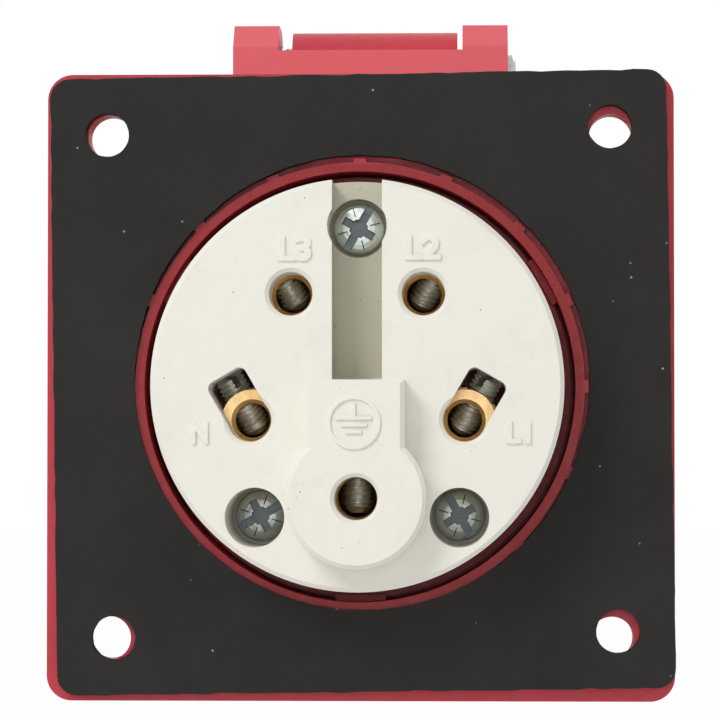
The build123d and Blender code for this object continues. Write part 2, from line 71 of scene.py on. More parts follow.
# Camera: it stands square behind the panel, a little below and to one side of
# the socket, so the deep holes show one wall. The scale is that of the flange.
PHOTO_SIZE = 720
FLANGE_SCALE = 8.37 / MM
FOOT_PIXEL = (469, 450)
FLANGE_PIXEL = (360, 386.8)
CAMERA_DISTANCE = 0.402
SENSOR_WIDTH = 36
CLIP_NEAR = 0.01
CLIP_FAR = 20
FLANGE_BACK = -0.002
foot_x = -(FOOT_PIXEL[0] - FLANGE_PIXEL[0]) / FLANGE_SCALE
foot_z = -(FOOT_PIXEL[1] - FLANGE_PIXEL[1]) / FLANGE_SCALE
half_photo = PHOTO_SIZE / 2 / FLANGE_SCALE
centre_x = (FLANGE_PIXEL[0] - PHOTO_SIZE / 2) / FLANGE_SCALE
centre_z = (FLANGE_PIXEL[1] - PHOTO_SIZE / 2) / FLANGE_SCALE
camera_data = bpy.data.cameras.new("photo_camera")
camera_data.sensor_width = SENSOR_WIDTH
camera_data.lens = SENSOR_WIDTH / 2 * CAMERA_DISTANCE / half_photo
camera_data.clip_start = CLIP_NEAR
camera_data.clip_end = CLIP_FAR
camera = bpy.data.objects.new("photo_camera", camera_data)
bpy.context.scene.collection.objects.link(camera)
camera.location = (foot_x, FLANGE_BACK + CAMERA_DISTANCE, foot_z)
camera_aim = Vector((centre_x, FLANGE_BACK, centre_z))
camera.rotation_euler = (camera_aim - camera.location).to_track_quat("-Z", "Y").to_euler()
bpy.context.scene.camera = camera
bpy.context.scene.view_settings.view_transform = "Standard"

# Studio: a white surround for the eye and for reflections, a soft pale light for
# the object, a large soft lamp above the wiring side, a weak one behind the camera
# that reaches into the deep wells, and another for the plug side.
AMBIENT = 0.55
world = bpy.data.worlds.new("studio")
bpy.context.scene.world = world
world.use_nodes = True
tree = world.node_tree
tree.nodes.clear()
output = tree.nodes.new("ShaderNodeOutputWorld")
background = tree.nodes.new("ShaderNodeBackground")
path = tree.nodes.new("ShaderNodeLightPath")
seen = tree.nodes.new("ShaderNodeMath")
seen.operation = "MAXIMUM"
seen_too = tree.nodes.new("ShaderNodeMath")
seen_too.operation = "MAXIMUM"
strength = tree.nodes.new("ShaderNodeMapRange")
strength.inputs["To Min"].default_value = AMBIENT
strength.inputs["To Max"].default_value = 1.0
tree.links.new(path.outputs["Is Camera Ray"], seen.inputs[0])
tree.links.new(path.outputs["Is Glossy Ray"], seen.inputs[1])
tree.links.new(seen.outputs[0], seen_too.inputs[0])
tree.links.new(path.outputs["Is Transmission Ray"], seen_too.inputs[1])
tree.links.new(seen_too.outputs[0], strength.inputs["Value"])
tree.links.new(strength.outputs["Result"], background.inputs["Strength"])
background.inputs["Color"].default_value = (1, 1, 1, 1)
tree.links.new(background.outputs[0], output.inputs["Surface"])


def soft_lamp(name, place, size, power):
    """A square lamp that looks at the middle of the socket."""
    lamp = bpy.data.lights.new(name, "AREA")
    lamp.size = size
    lamp.energy = power
    holder = bpy.data.objects.new(name, lamp)
    bpy.context.scene.collection.objects.link(holder)
    holder.location = place
    holder.rotation_euler = (-Vector(place)).to_track_quat("-Z", "Y").to_euler()


soft_lamp("key_lamp", place=(0.45, 0.65, 0.60), size=0.35, power=4.0)
soft_lamp("rear_fill", place=(0.02, 0.85, 0.06), size=0.25, power=0.45)
soft_lamp("front_lamp", place=(-0.4, -0.8, 0.5), size=0.5, power=2.4)

# Floor: pale, well below the held part. The camera sees it almost white, and a
# small share of its own paint keeps the part's soft shadow on it.
FLOOR_DROP = 0.05
FLOOR_REACH = 3.0
FLOOR_GLOW_SHARE = 0.97
FLOOR_PAINT = (0.8, 0.8, 0.8)
FLOOR_ROUGHNESS = 0.9
floor_z = cad_low[2] - FLOOR_DROP
floor_mesh = bpy.data.meshes.new("floor")
floor_corners = [
    (FLOOR_REACH * x, FLOOR_REACH * y, floor_z) for x, y in ((-1, -1), (1, -1), (1, 1), (-1, 1))
]
floor_mesh.from_pydata(floor_corners, [], [(0, 1, 2, 3)])
floor = bpy.data.objects.new("floor", floor_mesh)
bpy.context.scene.collection.objects.link(floor)
floor_paint = bpy.data.materials.new("floor_white")
floor_paint.use_nodes = True
tree = floor_paint.node_tree
shader = tree.nodes["Principled BSDF"]
shader.inputs["Base Color"].default_value = (*FLOOR_PAINT, 1)
shader.inputs["Roughness"].default_value = FLOOR_ROUGHNESS
glow = tree.nodes.new("ShaderNodeEmission")
path = tree.nodes.new("ShaderNodeLightPath")
share = tree.nodes.new("ShaderNodeMath")
share.operation = "MULTIPLY"
share.inputs[1].default_value = FLOOR_GLOW_SHARE
paint_or_glow = tree.nodes.new("ShaderNodeMixShader")
tree.links.new(path.outputs["Is Camera Ray"], share.inputs[0])
tree.links.new(share.outputs[0], paint_or_glow.inputs[0])
tree.links.new(shader.outputs[0], paint_or_glow.inputs[1])
tree.links.new(glow.outputs[0], paint_or_glow.inputs[2])
tree.links.new(paint_or_glow.outputs[0], tree.nodes["Material Output"].inputs["Surface"])
floor_mesh.materials.append(floor_paint)


# Housing, contact block and lid: red nylon, moulded, with the fine grain of the
# mould and faint flow marks. The hinge block at the top gets a painted highlight,
# a paler red, and the collar's groove gets painted shade, a darker red.
def start_material(name, colour, roughness, metallic=0.0):
    """A material with its Principled shader and its Object coordinates."""
    material = bpy.data.materials.new(name)
    material.use_nodes = True
    links = material.node_tree.links
    made = material.node_tree.nodes
    principled = made["Principled BSDF"]
    principled.inputs["Base Color"].default_value = (*colour, 1)
    principled.inputs["Roughness"].default_value = roughness
    principled.inputs["Metallic"].default_value = metallic
    place = made.new("ShaderNodeTexCoord")
    return material, made, links, principled, place.outputs["Object"]


def noise(made, links, place, scale, detail=3.0, rough=0.55):
    """Noise in Object coordinates: scale is in cycles per metre."""
    texture = made.new("ShaderNodeTexNoise")
    texture.inputs["Scale"].default_value = scale
    texture.inputs["Detail"].default_value = detail
    texture.inputs["Roughness"].default_value = rough
    links.new(place, texture.inputs["Vector"])
    return texture.outputs["Fac"]


def remap(made, links, value, low, high, to_low, to_high):
    """A value carried from one range to another, held at its ends."""
    step = made.new("ShaderNodeMapRange")
    step.inputs["From Min"].default_value = low
    step.inputs["From Max"].default_value = high
    step.inputs["To Min"].default_value = to_low
    step.inputs["To Max"].default_value = to_high
    links.new(value, step.inputs["Value"])
    return step.outputs["Result"]


def tint(made, links, factor, first, second):
    """Two colours mixed by a factor."""
    mixer = made.new("ShaderNodeMix")
    mixer.data_type = "RGBA"
    if isinstance(first, tuple):
        mixer.inputs["A"].default_value = (*first, 1)
    else:
        links.new(first, mixer.inputs["A"])
    mixer.inputs["B"].default_value = (*second, 1)
    links.new(factor, mixer.inputs["Factor"])
    return mixer.outputs["Result"]


def grain(made, links, principled, heights, depth):
    """Bump from heights; depth is in metres."""
    bump = made.new("ShaderNodeBump")
    bump.inputs["Distance"].default_value = depth
    bump.inputs["Strength"].default_value = 1.0
    links.new(heights, bump.inputs["Height"])
    links.new(bump.outputs["Normal"], principled.inputs["Normal"])


def paint(material, *starts):
    """Gives a material to every CAD node whose name starts so."""
    for name, node in nodes.items():
        if name.startswith(starts):
            node.data.materials.clear()
            node.data.materials.append(material)


def product(made, links, first, second):
    """Two values multiplied."""
    both = made.new("ShaderNodeMath")
    both.operation = "MULTIPLY"
    links.new(first, both.inputs[0])
    links.new(second, both.inputs[1])
    return both.outputs[0]


def zone(made, links, place, low, high, soft):
    """1 inside a box of Object coordinates and 0 outside it, over a soft edge."""
    parts = made.new("ShaderNodeSeparateXYZ")
    links.new(place, parts.inputs[0])
    inside = None
    for axis in range(3):
        for bound, sign in ((low[axis], 1), (high[axis], -1)):
            outer, inner = bound - sign * soft, bound + sign * soft
            edge = remap(made, links, parts.outputs[axis], outer, inner, 0.0, 1.0)
            inside = edge if inside is None else product(made, links, inside, edge)
    return inside


def red_moulding(name, painted_light):
    """Red nylon. The housing gets a painted highlight at the hinge and painted shade in the groove."""
    material, made, links, principled, place = start_material(name, RED, roughness=0.42)
    flow = remap(made, links, noise(made, links, place, 60), 0.35, 0.7, 0.0, 0.5)
    colour = tint(made, links, flow, RED, RED_DEEP)
    if painted_light:
        # Painted highlight: the top of the hinge block is painted a paler red.
        painted_highlight = zone(made, links, place, HIGHLIGHT_BOX[0], HIGHLIGHT_BOX[1], HIGHLIGHT_SOFT)
        colour = tint(made, links, painted_highlight, colour, RED_PAINTED_HIGHLIGHT)
        # Painted shade: the collar's groove is painted a darker red.
        groove = zone(made, links, place, SHADE_BOX[0], SHADE_BOX[1], SHADE_SOFT)
        colour = tint(made, links, groove, colour, RED_PAINTED_SHADE)
    links.new(colour, principled.inputs["Base Color"])
    sheen = remap(made, links, noise(made, links, place, 900), 0.3, 0.7, 0.36, 0.5)
    links.new(sheen, principled.inputs["Roughness"])
    grain(made, links, principled, noise(made, links, place, 4200, 2.0), RED_GRAIN_DEPTH)
    return material


RED = (0.58, 0.028, 0.050)
RED_DEEP = (0.48, 0.018, 0.034)
# A paler red painted as highlight on the hinge block, and a darker red painted as shade in the collar's
# groove.
RED_PAINTED_HIGHLIGHT = (0.76, 0.115, 0.14)
RED_PAINTED_SHADE = (0.29, 0.001, 0.006)
RED_GRAIN_DEPTH = 0.04 * MM
# The box of the hinge block, where the highlight is painted.
HIGHLIGHT_BOX = ((-0.03, -0.06, 0.0385), (0.03, 0.01, 0.06))
HIGHLIGHT_SOFT = 1.5 * MM
# The box of the collar's groove, where shade is painted.
SHADE_BOX = ((-0.0268, -0.0140, -0.0268), (0.0268, 0.0005, 0.0268))
SHADE_SOFT = 0.4 * MM
paint(red_moulding("red_nylon", True), "housing_", "contact_block_")
lid_red = red_moulding("lid_red_nylon", False)
nodes["lid"].data.materials.clear()
nodes["lid"].data.materials.append(lid_red)

# Terminal cover: ivory moulding compound, nearly matt, with faint grey smudges
# and a few dark specks of dirt on its faces. The channel's recessed floor gets painted shade, a darker
# ivory.
IVORY = (0.86, 0.835, 0.755)
IVORY_SMUDGE = (0.76, 0.735, 0.655)
DIRT = (0.10, 0.09, 0.07)
CHANNEL_PAINTED_SHADE = (0.56, 0.54, 0.43)
CHANNEL_BOX = ((-0.0034, -0.001, 0.0008), (0.0034, 0.0085, 0.0255))
CHANNEL_SOFT = 0.3 * MM
IVORY_GRAIN_DEPTH = 0.05 * MM
ivory, made, links, principled, place = start_material("ivory_moulding", IVORY, roughness=0.5)
smudge = remap(made, links, noise(made, links, place, 170, 6.0, 0.7), 0.5, 0.8, 0.0, 0.6)
clean = tint(made, links, smudge, IVORY, IVORY_SMUDGE)
dirt = remap(made, links, noise(made, links, place, 1900, 1.0), 0.77, 0.80, 0.0, 0.7)
# Painted shade: the floor of the recessed channel is painted a darker ivory.
channel_shade = zone(made, links, place, CHANNEL_BOX[0], CHANNEL_BOX[1], CHANNEL_SOFT)
with_channel_shade = tint(made, links, channel_shade, clean, CHANNEL_PAINTED_SHADE)
links.new(tint(made, links, dirt, with_channel_shade, DIRT), principled.inputs["Base Color"])
sheen = remap(made, links, noise(made, links, place, 700), 0.3, 0.7, 0.42, 0.58)
links.new(sheen, principled.inputs["Roughness"])
grain(made, links, principled, noise(made, links, place, 2600, 3.0), IVORY_GRAIN_DEPTH)
paint(ivory, "terminal_cover_")

# Brass contacts: turned bar, slightly tarnished.
BRASS = (0.72, 0.50, 0.25)
BRASS_DULL = (0.50, 0.32, 0.13)
BRASS_GRAIN_DEPTH = 0.03 * MM
brass, made, links, principled, place = start_material("turned_brass", BRASS, roughness=0.3, metallic=1.0)
tarnish = remap(made, links, noise(made, links, place, 420, 4.0), 0.4, 0.7, 0.0, 0.8)
links.new(tint(made, links, tarnish, BRASS, BRASS_DULL), principled.inputs["Base Color"])
grain(made, links, principled, noise(made, links, place, 5200, 2.0), BRASS_GRAIN_DEPTH)
paint(brass, "contact_l", "contact_n", "contact_earth")

# Spring rings and hinge pin: bright drawn steel.
STEEL = (0.50, 0.52, 0.52)
steel, made, links, principled, place = start_material("drawn_steel", STEEL, roughness=0.28, metallic=1.0)
drawn = remap(made, links, noise(made, links, place, 1500), 0.3, 0.7, 0.2, 0.4)
links.new(drawn, principled.inputs["Roughness"])
paint(steel, "contact_ring_", "hinge_pin")


# Closing spring: the same steel wire, a copy of the CAD spring's mesh. One end
# turns with the lid and the other stays in the ear.
def add_piece(name, mesh, material):
    """An object at the origin that carries a mesh and one material."""
    mesh.materials.clear()
    mesh.materials.append(material)
    piece = bpy.data.objects.new(name, mesh)
    bpy.context.scene.collection.objects.link(piece)
    return piece


spring = add_piece("closing_spring", nodes["lid_spring"].data.copy(), steel)
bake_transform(spring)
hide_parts("lid_spring")

# Lid seal: black rubber ring, pushed over the rib inside the lid.
RUBBER = (0.028, 0.027, 0.026)
RUBBER_GRAIN_DEPTH = 0.06 * MM
seal_rubber, made, links, principled, place = start_material("seal_rubber", RUBBER, roughness=0.7)
grain(made, links, principled, noise(made, links, place, 3000), RUBBER_GRAIN_DEPTH)
paint(seal_rubber, "lid_seal")

# Gasket: black sheet rubber, knife-cut by hand, so its edges wander a little, and
# laid slightly askew and high on the flange. Pale dust specks lie on its face.
GASKET_SIDE = 73.5 * MM
GASKET_CORNER = 2.3 * MM
GASKET_THICK = 2.0 * MM
GASKET_SHIFT = (-0.25 * MM, 0.5 * MM)
GASKET_TURN = math.radians(-0.82)
GASKET_OPENING = 27.1 * MM
GASKET_HOLE = 2.6 * MM
GASKET_PITCH = 60 * MM
EDGE_WANDER = 0.045 * MM
HOLE_WANDER = 0.03 * MM
SIDE_CUTS = 44
CORNER_CUTS = 6
OPENING_CUTS = 150
HOLE_CUTS = 40
HAND_SEED = 7
WELD_GAP = 0.001 * MM
SHEET = (0.0125, 0.0118, 0.0110)
SHEET_WORN = (0.0240, 0.0225, 0.0205)
DUST = (0.45, 0.42, 0.38)
SHEET_SPECULAR = 0.3
SHEET_GRAIN_DEPTH = 0.10 * MM
REAR = Matrix(((-1, 0, 0, 0), (0, 0, 1, 0), (0, 1, 0, 0), (0, 0, 0, 1)))


def add_loop(outline, points):
    """A closed run of straight cuts in a 2D curve."""
    loop = outline.splines.new("POLY")
    loop.points.add(len(points) - 1)
    for point, (x, y) in zip(loop.points, points):
        point.co = (x, y, 0, 1)
    loop.use_cyclic_u = True


def ring_points(centre, radius, count, wander=0.0, chance=None):
    """Points of a circle, each moved in or out a little."""
    points = []
    for index in range(count):
        turn = 2 * math.pi * index / count
        reach = radius + (chance.gauss(0, wander) if chance else 0.0)
        points.append((centre[0] + reach * math.cos(turn), centre[1] + reach * math.sin(turn)))
    return points


def plain_mesh(holder):
    """The mesh that an object gives once its modifiers are applied."""
    bpy.context.view_layer.update()
    depsgraph = bpy.context.evaluated_depsgraph_get()
    return bpy.data.meshes.new_from_object(holder.evaluated_get(depsgraph))


def curve_mesh(outline, name):
    """The closed mesh of a curve; the curve itself is dropped."""
    holder = bpy.data.objects.new(name, outline)
    bpy.context.scene.collection.objects.link(holder)
    mesh = plain_mesh(holder)
    bpy.data.objects.remove(holder)
    sides_and_faces = bmesh.new()
    sides_and_faces.from_mesh(mesh)
    bmesh.ops.remove_doubles(sides_and_faces, verts=sides_and_faces.verts, dist=WELD_GAP)
    sides_and_faces.to_mesh(mesh)
    sides_and_faces.free()
    return mesh


def square_points(side, corner, per_side, wander, chance):
    """Points of a square with round corners, cut with an unsteady hand."""
    points = []
    half = side / 2 - corner
    for quarter in range(4):
        turn = Matrix.Rotation(quarter * math.pi / 2, 2)
        for index in range(per_side):
            along = -half + 2 * half * index / per_side
            points.append(tuple(turn @ Vector((side / 2 + chance.gauss(0, wander), along))))
        for index in range(CORNER_CUTS):
            bend = math.pi / 2 * index / CORNER_CUTS
            bent = Vector((half + corner * math.cos(bend), half + corner * math.sin(bend)))
            points.append(tuple(turn @ bent))
    return points


hand = random.Random(HAND_SEED)
outline = bpy.data.curves.new("gasket_outline", "CURVE")
outline.dimensions = "2D"
outline.fill_mode = "BOTH"
outline.extrude = GASKET_THICK / 2
add_loop(outline, square_points(GASKET_SIDE, GASKET_CORNER, SIDE_CUTS, EDGE_WANDER, hand))
add_loop(outline, ring_points((0, 0), GASKET_OPENING, OPENING_CUTS, HOLE_WANDER, hand))
for side_x in (-1, 1):
    for side_y in (-1, 1):
        corner_place = (side_x * GASKET_PITCH / 2, side_y * GASKET_PITCH / 2)
        add_loop(outline, ring_points(corner_place, GASKET_HOLE, HOLE_CUTS, HOLE_WANDER / 2, hand))
sheet_mesh = curve_mesh(outline, "gasket_outline")
sheet_mesh.transform(
    Matrix.Translation((GASKET_SHIFT[0], -GASKET_THICK / 2, GASKET_SHIFT[1]))
    @ REAR
    @ Matrix.Rotation(-GASKET_TURN, 4, "Z")
)
sheet_rubber, made, links, principled, place = start_material("sheet_rubber", SHEET, roughness=0.72)
principled.inputs["Specular IOR Level"].default_value = SHEET_SPECULAR
worn = remap(made, links, noise(made, links, place, 55, 5.0, 0.65), 0.4, 0.75, 0.0, 0.8)
dusty = made.new("ShaderNodeTexVoronoi")
dusty.inputs["Scale"].default_value = 330
links.new(place, dusty.inputs["Vector"])
dots = remap(made, links, dusty.outputs["Distance"], 0.03, 0.055, 0.8, 0.0)
rare = remap(made, links, noise(made, links, place, 210, 1.0), 0.44, 0.52, 0.0, 1.0)
specks = product(made, links, dots, rare)
sheet_colour = tint(made, links, worn, SHEET, SHEET_WORN)
links.new(tint(made, links, specks, sheet_colour, DUST), principled.inputs["Base Color"])
grain(made, links, principled, noise(made, links, place, 1500, 5.0, 0.7), SHEET_GRAIN_DEPTH)
gasket = add_piece("gasket_sheet", sheet_mesh, sheet_rubber)
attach(gasket, "socket")
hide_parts("flange_gasket")

# Raised marks on the cover: the phase, neutral and earth marks, moulded with it.
# Each stands a little proud of its face, with soft edges. A letter has its place,
# its height and how wide it is drawn.
COVER_FACE = 9.5 * MM
BOSS_FACE = 14.0 * MM
CAP_SHARE = 0.729
MARK_RISE = 0.3 * MM
MARK_SOFT = 0.07 * MM
LETTER_WEIGHT = 0.035
LETTERS = {
    "L3": (7.2 * MM, 15.95 * MM, 2.75 * MM, 1.1),
    "L2": (-7.6 * MM, 16.05 * MM, 2.75 * MM, 1.15),
    "N": (18.25 * MM, -5.5 * MM, 2.45 * MM, 0.8),
    "L1": (-19.0 * MM, -5.45 * MM, 2.45 * MM, 1.05),
}
EARTH_CENTRE = (0.21 * MM, -4.41 * MM)
EARTH_RING = 3.1 * MM
STROKE = 0.43 * MM
EARTH_BARS = ((2.0 * MM, 0.53 * MM), (1.43 * MM, -0.27 * MM), (0.86 * MM, -1.07 * MM))
EARTH_STEM_TOP = 2.14 * MM
EARTH_RING_SIDES = 96
mark_meshes = []
for letters, (x, z, cap_height, width) in LETTERS.items():
    text = bpy.data.curves.new("mark_" + letters, "FONT")
    text.body = letters
    text.size = cap_height / CAP_SHARE
    text.offset = LETTER_WEIGHT * cap_height
    text.extrude = MARK_RISE - MARK_SOFT
    text.bevel_depth = MARK_SOFT
    text.align_x = "CENTER"
    mesh = curve_mesh(text, "mark_" + letters)
    wide = Matrix.Diagonal((width, 1, 1, 1))
    mesh.transform(Matrix.Translation((x, COVER_FACE, z - cap_height / 2)) @ REAR @ wide)
    mark_meshes.append(mesh)
symbol = bpy.data.curves.new("earth_symbol", "CURVE")
symbol.dimensions = "2D"
symbol.fill_mode = "BOTH"
symbol.extrude = MARK_RISE - MARK_SOFT
symbol.bevel_depth = MARK_SOFT
thin = STROKE / 2 - MARK_SOFT
add_loop(symbol, ring_points((0, 0), EARTH_RING - MARK_SOFT, EARTH_RING_SIDES))
add_loop(symbol, ring_points((0, 0), EARTH_RING - STROKE + MARK_SOFT, EARTH_RING_SIDES))
half, level = EARTH_BARS[0]
add_loop(
    symbol,
    (
        (-half, level - thin),
        (half, level - thin),
        (half, level + thin),
        (thin, level + thin),
        (thin, EARTH_STEM_TOP),
        (-thin, EARTH_STEM_TOP),
        (-thin, level + thin),
        (-half, level + thin),
    ),
)
for half, level in EARTH_BARS[1:]:
    below, above = level - thin, level + thin
    add_loop(symbol, ((-half, below), (half, below), (half, above), (-half, above)))
mesh = curve_mesh(symbol, "earth_symbol")
mesh.transform(Matrix.Translation((EARTH_CENTRE[0], BOSS_FACE, EARTH_CENTRE[1])) @ REAR)
mark_meshes.append(mesh)
joined = bmesh.new()
for mesh in mark_meshes:
    joined.from_mesh(mesh)
marks_mesh = bpy.data.meshes.new("raised_marks")
joined.to_mesh(marks_mesh)
joined.free()
marks = add_piece("raised_marks", marks_mesh, ivory)
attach(marks, "socket")

# Clamping screws: M3.5 set screws of plated steel with a rolled thread, a cone
# point and a driver slot. Each lies on the axis of its slide joint.
SCREW_RADIUS = 1.75 * MM
SCREW_LENGTH = 7.5 * MM
SCREW_POINT = 0.8 * MM
THREAD_PITCH = 0.6 * MM
THREAD_DEPTH = 0.33 * MM
THREAD_ROWS = 8
THREAD_SIDES = 48
CREST_SHARE = 0.42
END_ROW = 0.4999
BLADE_SPAN = 4.0
SLOT_WIDTH = 0.8 * MM
SLOT_DEPTH = 1.3 * MM
THREAD_STEEL = (0.72, 0.73, 0.67)
THREAD_OIL = (0.33, 0.31, 0.24)
THREAD_GRAIN_DEPTH = 0.02 * MM
thread_steel, made, links, principled, place = start_material(
    "thread_steel", THREAD_STEEL, roughness=0.34, metallic=0.8
)
oily = remap(made, links, noise(made, links, place, 600, 4.0), 0.45, 0.75, 0.0, 0.8)
links.new(tint(made, links, oily, THREAD_STEEL, THREAD_OIL), principled.inputs["Base Color"])
grain(made, links, principled, noise(made, links, place, 6000, 2.0), THREAD_GRAIN_DEPTH)


def start_tree(name, inputs):
    """A Geometry Nodes tree with named inputs of (name, socket type)."""
    tree = bpy.data.node_groups.new(name, "GeometryNodeTree")
    for label, kind in inputs:
        tree.interface.new_socket(label, in_out="INPUT", socket_type=kind)
    tree.interface.new_socket("Geometry", in_out="OUTPUT", socket_type="NodeSocketGeometry")
    return tree, tree.nodes.new("NodeGroupInput").outputs


def finish_tree(tree, geometry, material):
    """Ends a tree in Realize Instances and Set Material."""
    realize = tree.nodes.new("GeometryNodeRealizeInstances")
    dress = tree.nodes.new("GeometryNodeSetMaterial")
    tree.links.new(geometry, realize.inputs["Geometry"])
    tree.links.new(realize.outputs["Geometry"], dress.inputs["Geometry"])
    tree.links.new(material, dress.inputs["Material"])
    tree.links.new(dress.outputs["Geometry"], tree.nodes.new("NodeGroupOutput").inputs["Geometry"])


def grow(tree, start_mesh, values):
    """The plain mesh that a tree makes from a start mesh and its named values."""
    holder = bpy.data.objects.new(tree.name, start_mesh)
    bpy.context.scene.collection.objects.link(holder)
    step = holder.modifiers.new(tree.name, "NODES")
    step.node_group = tree
    for socket in tree.interface.items_tree:
        if socket.in_out == "INPUT" and socket.name in values:
            step[socket.identifier] = values[socket.name]
    mesh = plain_mesh(holder)
    holder.modifiers.remove(step)
    bpy.data.objects.remove(holder)
    return mesh


def sum_of(tree, operation, first, second):
    """One Math node between sockets or numbers."""
    node = tree.nodes.new("ShaderNodeMath")
    node.operation = operation
    for socket, value in zip(node.inputs, (first, second)):
        if isinstance(value, (int, float)):
            socket.default_value = value
        else:
            tree.links.new(value, socket)
    return node.outputs[0]


# A flat grid is rolled into a tube: X goes round, Y goes along, and its two end rows,
# past END_ROW, close on the axis. A triangle wave that climbs one pitch in a turn cuts
# the thread. The slot's cutter is BLADE_SPAN radii long, so it passes both sides.
thread_tree, given = start_tree(
    "threaded_screw",
    (
        ("Geometry", "NodeSocketGeometry"),
        ("Radius", "NodeSocketFloat"),
        ("Length", "NodeSocketFloat"),
        ("Pitch", "NodeSocketFloat"),
        ("Thread Depth", "NodeSocketFloat"),
        ("Point", "NodeSocketFloat"),
        ("Slot Width", "NodeSocketFloat"),
        ("Slot Depth", "NodeSocketFloat"),
        ("Rows", "NodeSocketInt"),
        ("Material", "NodeSocketMaterial"),
    ),
)
grid = thread_tree.nodes.new("GeometryNodeMeshGrid")
grid.inputs["Size X"].default_value = 1.0
grid.inputs["Size Y"].default_value = 1.0
grid.inputs["Vertices X"].default_value = THREAD_SIDES + 1
thread_tree.links.new(given["Rows"], grid.inputs["Vertices Y"])
where = thread_tree.nodes.new("ShaderNodeSeparateXYZ")
thread_tree.links.new(thread_tree.nodes.new("GeometryNodeInputPosition").outputs[0], where.inputs[0])
round_share = sum_of(thread_tree, "ADD", where.outputs["X"], 0.5)
turn = sum_of(thread_tree, "MULTIPLY", round_share, 2 * math.pi)
half_length = sum_of(thread_tree, "MULTIPLY", given["Length"], 0.5)
row_share = sum_of(thread_tree, "DIVIDE", 2.0, given["Rows"])
stretched = sum_of(thread_tree, "MULTIPLY", where.outputs["Y"], sum_of(thread_tree, "ADD", row_share, 1.0))
level = sum_of(thread_tree, "MULTIPLY", stretched, given["Length"])
level = sum_of(thread_tree, "MINIMUM", level, half_length)
level = sum_of(thread_tree, "MAXIMUM", level, sum_of(thread_tree, "MULTIPLY", half_length, -1.0))
climb = sum_of(thread_tree, "SUBTRACT", sum_of(thread_tree, "DIVIDE", level, given["Pitch"]), round_share)
phase = sum_of(thread_tree, "SUBTRACT", sum_of(thread_tree, "FLOORED_MODULO", climb, 1.0), 0.5)
wave = sum_of(thread_tree, "DIVIDE", sum_of(thread_tree, "ABSOLUTE", phase, 0.0), CREST_SHARE)
wave = sum_of(thread_tree, "MAXIMUM", sum_of(thread_tree, "SUBTRACT", 1.0, wave), 0.0)
groove = sum_of(thread_tree, "MULTIPLY", wave, given["Thread Depth"])
reach = sum_of(thread_tree, "SUBTRACT", given["Radius"], groove)
from_tip = sum_of(thread_tree, "ADD", level, half_length)
cone = sum_of(thread_tree, "SUBTRACT", given["Point"], from_tip)
cone = sum_of(thread_tree, "SUBTRACT", given["Radius"], sum_of(thread_tree, "MAXIMUM", cone, 0.0))
reach = sum_of(thread_tree, "MINIMUM", reach, cone)
off_middle = sum_of(thread_tree, "ABSOLUTE", where.outputs["Y"], 0.0)
open_row = sum_of(thread_tree, "LESS_THAN", off_middle, END_ROW)
reach = sum_of(thread_tree, "MULTIPLY", reach, open_row)
rolled = thread_tree.nodes.new("ShaderNodeCombineXYZ")
across_x = sum_of(thread_tree, "COSINE", turn, 0.0)
across_y = sum_of(thread_tree, "SINE", turn, 0.0)
thread_tree.links.new(sum_of(thread_tree, "MULTIPLY", reach, across_x), rolled.inputs["X"])
thread_tree.links.new(sum_of(thread_tree, "MULTIPLY", reach, across_y), rolled.inputs["Y"])
thread_tree.links.new(level, rolled.inputs["Z"])
roll = thread_tree.nodes.new("GeometryNodeSetPosition")
thread_tree.links.new(grid.outputs["Mesh"], roll.inputs["Geometry"])
thread_tree.links.new(rolled.outputs[0], roll.inputs["Position"])
weld = thread_tree.nodes.new("GeometryNodeMergeByDistance")
weld.inputs["Distance"].default_value = WELD_GAP
thread_tree.links.new(roll.outputs["Geometry"], weld.inputs["Geometry"])
blade = thread_tree.nodes.new("GeometryNodeMeshCube")
blade_size = thread_tree.nodes.new("ShaderNodeCombineXYZ")
thread_tree.links.new(sum_of(thread_tree, "MULTIPLY", given["Radius"], BLADE_SPAN), blade_size.inputs["X"])
thread_tree.links.new(given["Slot Width"], blade_size.inputs["Y"])
thread_tree.links.new(sum_of(thread_tree, "MULTIPLY", given["Slot Depth"], 2.0), blade_size.inputs["Z"])
thread_tree.links.new(blade_size.outputs[0], blade.inputs["Size"])
blade_place = thread_tree.nodes.new("ShaderNodeCombineXYZ")
thread_tree.links.new(half_length, blade_place.inputs["Z"])
lifted = thread_tree.nodes.new("GeometryNodeTransform")
thread_tree.links.new(blade.outputs["Mesh"], lifted.inputs["Geometry"])
thread_tree.links.new(blade_place.outputs[0], lifted.inputs["Translation"])
slotted = thread_tree.nodes.new("GeometryNodeMeshBoolean")
slotted.operation = "DIFFERENCE"
slotted.solver = "EXACT"
thread_tree.links.new(weld.outputs["Geometry"], slotted.inputs["Mesh 1"])
thread_tree.links.new(lifted.outputs["Geometry"], slotted.inputs["Mesh 2"])
finish_tree(thread_tree, slotted.outputs["Mesh"], given["Material"])
thread_rows = round(SCREW_LENGTH / THREAD_PITCH * THREAD_ROWS)
thread_mesh = grow(
    thread_tree,
    bpy.data.meshes.new("threaded_screw"),
    {
        "Radius": SCREW_RADIUS,
        "Length": SCREW_LENGTH,
        "Pitch": THREAD_PITCH,
        "Thread Depth": THREAD_DEPTH,
        "Point": SCREW_POINT,
        "Slot Width": SLOT_WIDTH,
        "Slot Depth": SLOT_DEPTH,
        "Rows": thread_rows,
        "Material": thread_steel,
    },
)
for joint in frame["joints"]:
    if not joint["name"].startswith("terminal_screw_travel_"):
        continue
    pole = joint["name"].rsplit("_", 1)[1]
    low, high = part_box("terminal_screw_" + pole)
    facing = Vector(joint["axis"]).to_track_quat("Z", "Y").to_matrix().to_4x4()
    mesh = thread_mesh.copy()
    mesh.transform(Matrix.Translation((low + high) / 2) @ facing)
    piece = add_piece("threaded_screw_" + pole, mesh, thread_steel)
    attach(piece, "screw_" + pole)
    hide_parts("terminal_screw_" + pole)


